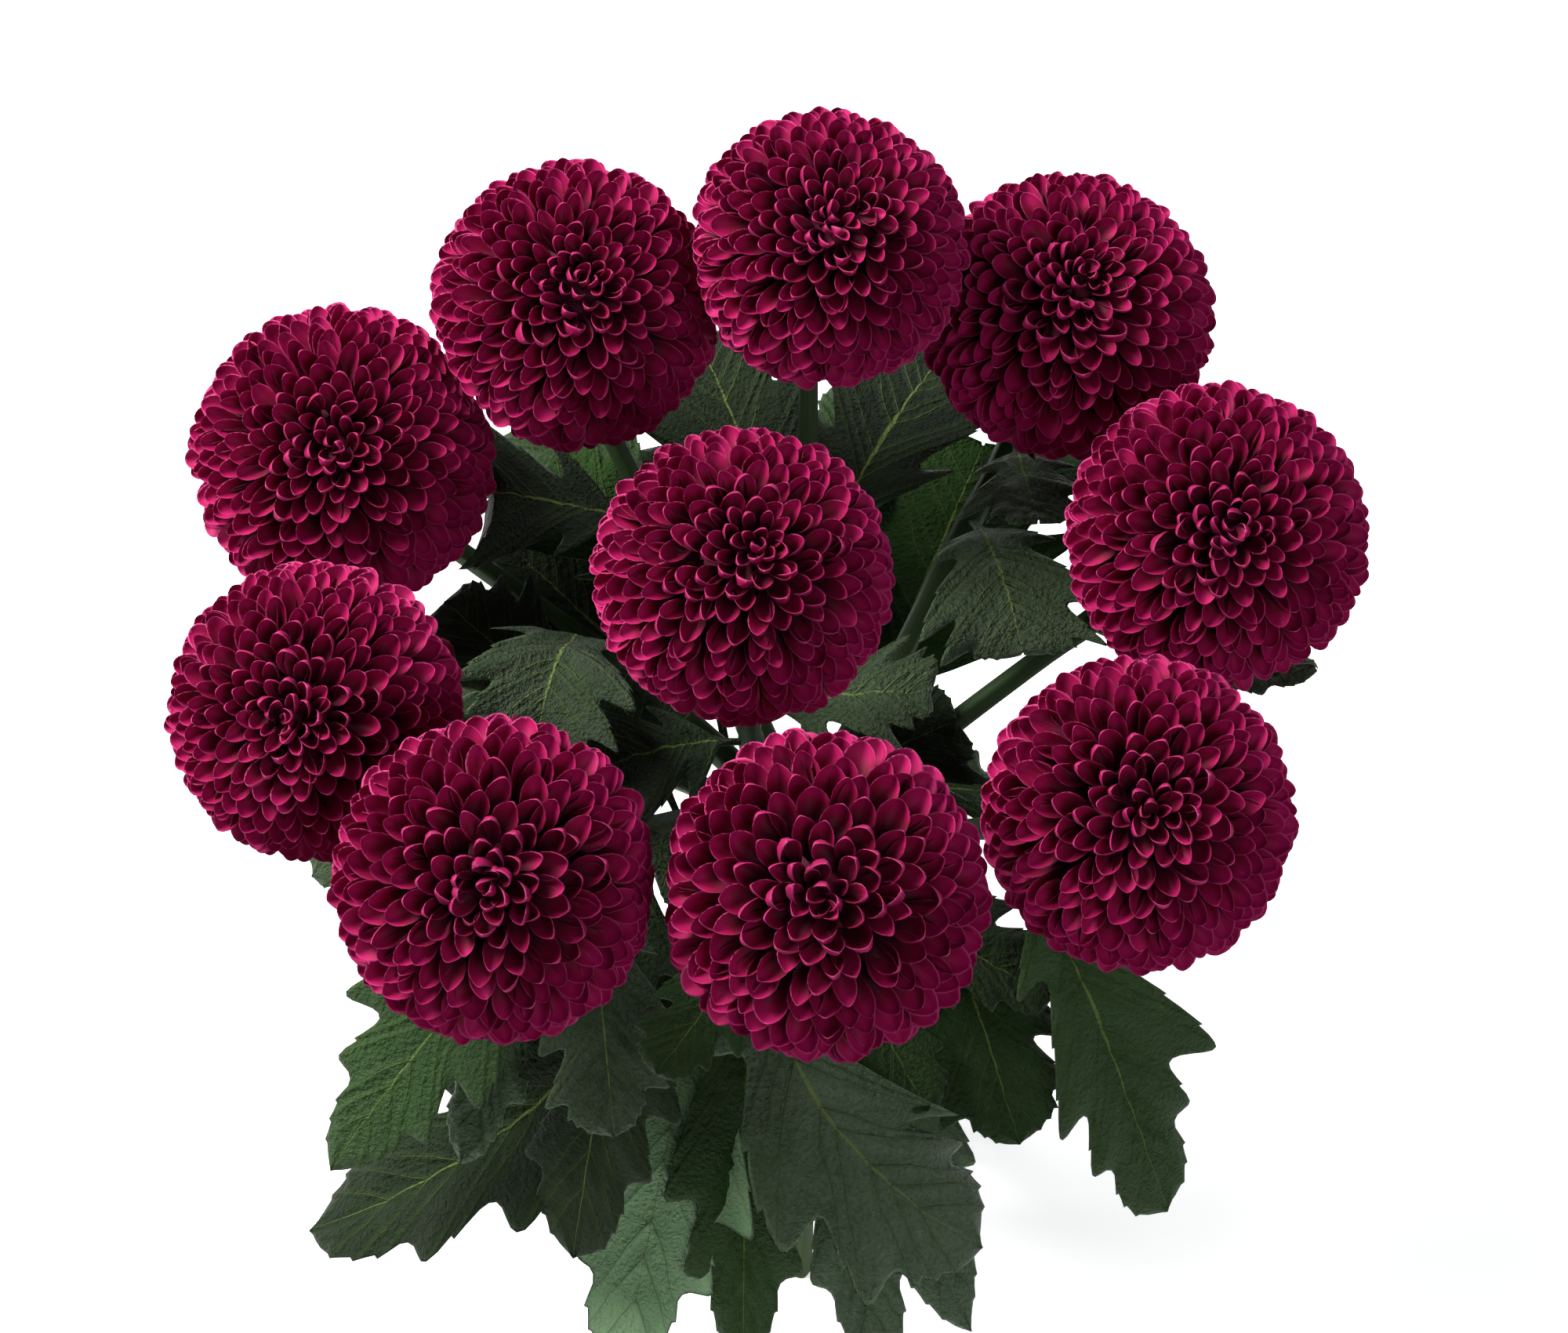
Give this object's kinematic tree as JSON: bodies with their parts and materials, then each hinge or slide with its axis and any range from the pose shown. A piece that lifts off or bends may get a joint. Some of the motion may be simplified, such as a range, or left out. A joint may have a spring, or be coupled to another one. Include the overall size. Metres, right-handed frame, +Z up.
{
  "type": "pompon chrysanthemum",
  "caption": "Hand-tied bunch of cut pompon chrysanthemums: round crimson heads of cupped petals over lobed dark leaves, on spiralled stems that stand on their level cut ends.",
  "frame": {"origin": "centre of the middle stem's cut end, on the surface that the bunch stands on, under the middle of the whole bunch", "axes": "+Z up along the bunch; -Y towards the side that the picture was taken from; +X to the right as seen from that side"},
  "size_m": [0.3138, 0.2975, 0.3602],
  "materials": {
    "petal": "velvety matt",
    "greenery": "satin, finely bumpy",
    "twine": "matt fibre"
  },
  "bodies": {
    "root": {"bloom_right": "petal", "leafy_stem_right": "greenery", "bloom_top_right": "petal", "leafy_stem_top_right": "greenery", "bloom_top": "petal", "leafy_stem_top": "greenery", "bloom_top_left": "petal", "leafy_stem_top_left": "greenery", "bloom_left_upper": "petal", "leafy_stem_left_upper": "greenery", "bloom_left_lower": "petal", "leafy_stem_left_lower": "greenery", "bloom_bottom_left": "petal", "leafy_stem_bottom_left": "greenery", "bloom_bottom": "petal", "leafy_stem_bottom": "greenery", "bloom_right_lower": "petal", "leafy_stem_right_lower": "greenery", "bloom_middle": "petal", "leafy_stem_middle": "greenery", "twine_tie": "twine"}
  },
  "joints": []
}
